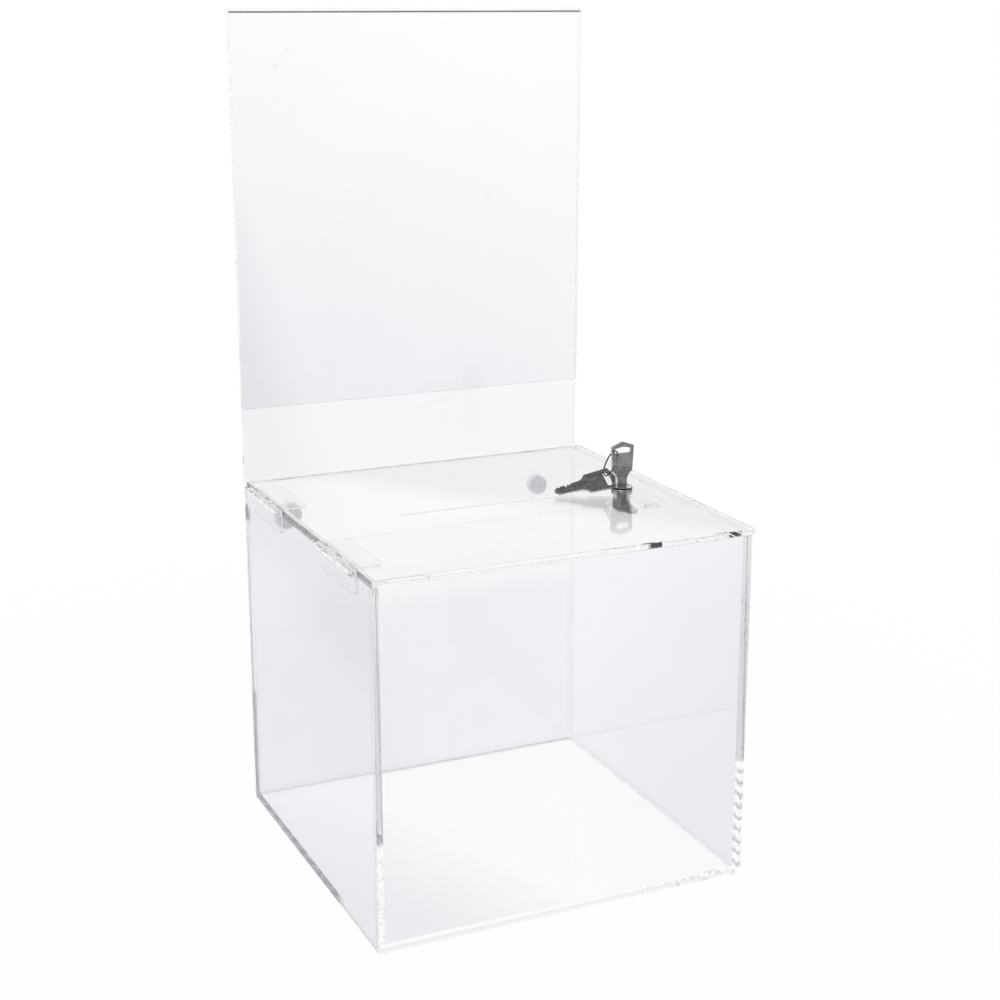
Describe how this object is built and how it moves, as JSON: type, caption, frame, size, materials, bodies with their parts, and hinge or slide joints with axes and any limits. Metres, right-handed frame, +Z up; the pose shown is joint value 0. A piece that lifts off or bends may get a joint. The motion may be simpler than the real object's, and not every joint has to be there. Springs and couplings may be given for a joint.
{
  "type": "ballot box",
  "caption": "Clear acrylic ballot box with a hinged slotted lid, a cam lock with keys on a wire ring, and a tall folded sign header behind.",
  "frame": {"origin": "middle of the box's underside, midway between the outer faces of the side walls and of the front and back walls", "axes": "+X to the lock side (right, seen from the front), +Y to the back where the sign header stands, +Z up"},
  "size_m": [0.2617, 0.2498, 0.55],
  "materials": {
    "acrylic_sheet": "clear cast acrylic, polished faces, saw-cut and flame-polished edges",
    "header_sheet": "thin clear acrylic, heat-folded",
    "header_fixing": "translucent grey plastic",
    "hinge_plastic": "clear moulded plastic",
    "hinge_steel": "drawn steel wire",
    "lock_nickel": "nickel-plated, polished",
    "lock_steel": "zinc-plated sheet steel",
    "key_nickel": "dark nickel-plated, lightly worn",
    "ring_wire": "steel wire"
  },
  "bodies": {
    "case": {"floor_panel": "acrylic_sheet", "front_wall": "acrylic_sheet", "back_wall": "acrylic_sheet", "left_wall": "acrylic_sheet", "right_wall": "acrylic_sheet", "sign_header": "header_sheet", "header_posts": "header_fixing", "header_screws": "header_fixing", "rear_hinge_wall_leaf": "hinge_plastic", "rear_hinge_pin": "hinge_steel", "front_hinge_wall_leaf": "hinge_plastic", "front_hinge_pin": "hinge_steel", "lock_strike": "acrylic_sheet"},
    "lid_unit": {"lid": "acrylic_sheet", "rear_hinge_lid_leaf": "hinge_plastic", "front_hinge_lid_leaf": "hinge_plastic", "lock_housing": "lock_nickel", "lock_nut": "lock_nickel"},
    "plug_unit": {"lock_plug": "lock_nickel", "stop_washer": "lock_steel", "lock_cam": "lock_steel", "cam_washer": "lock_steel", "cam_screw": "lock_steel"},
    "key_unit": {"key_in_lock": "key_nickel"},
    "ring_unit": {"key_ring": "ring_wire"},
    "spare_unit": {"spare_key": "key_nickel"}
  },
  "joints": [
    {"name": "lid_hinge", "type": "hinge", "parent": "case", "child": "lid_unit", "pos_m": [-0.13, 0, 0.2345], "axis": [0, -1, 0], "range_deg": [0, 240]},
    {"name": "lock_turn", "type": "hinge", "parent": "lid_unit", "child": "plug_unit", "pos_m": [0.0993, -0.0023, 0.2376], "axis": [0, 0, 1], "range_deg": [0, 90]},
    {"name": "key_withdraw", "type": "slide", "parent": "plug_unit", "child": "key_unit", "axis": [0, 0, 1], "range_m": [0, 0.015]},
    {"name": "ring_swing", "type": "hinge", "parent": "key_unit", "child": "ring_unit", "pos_m": [0.09455, -0.0023, 0.262], "axis": [0, 1, 0], "range_deg": [0, 60]},
    {"name": "spare_swing", "type": "hinge", "parent": "ring_unit", "child": "spare_unit", "pos_m": [0.08638, -0.0023, 0.24596], "axis": [0.1776, 0.9799, -0.0905], "range_deg": [0, 60]}
  ]
}
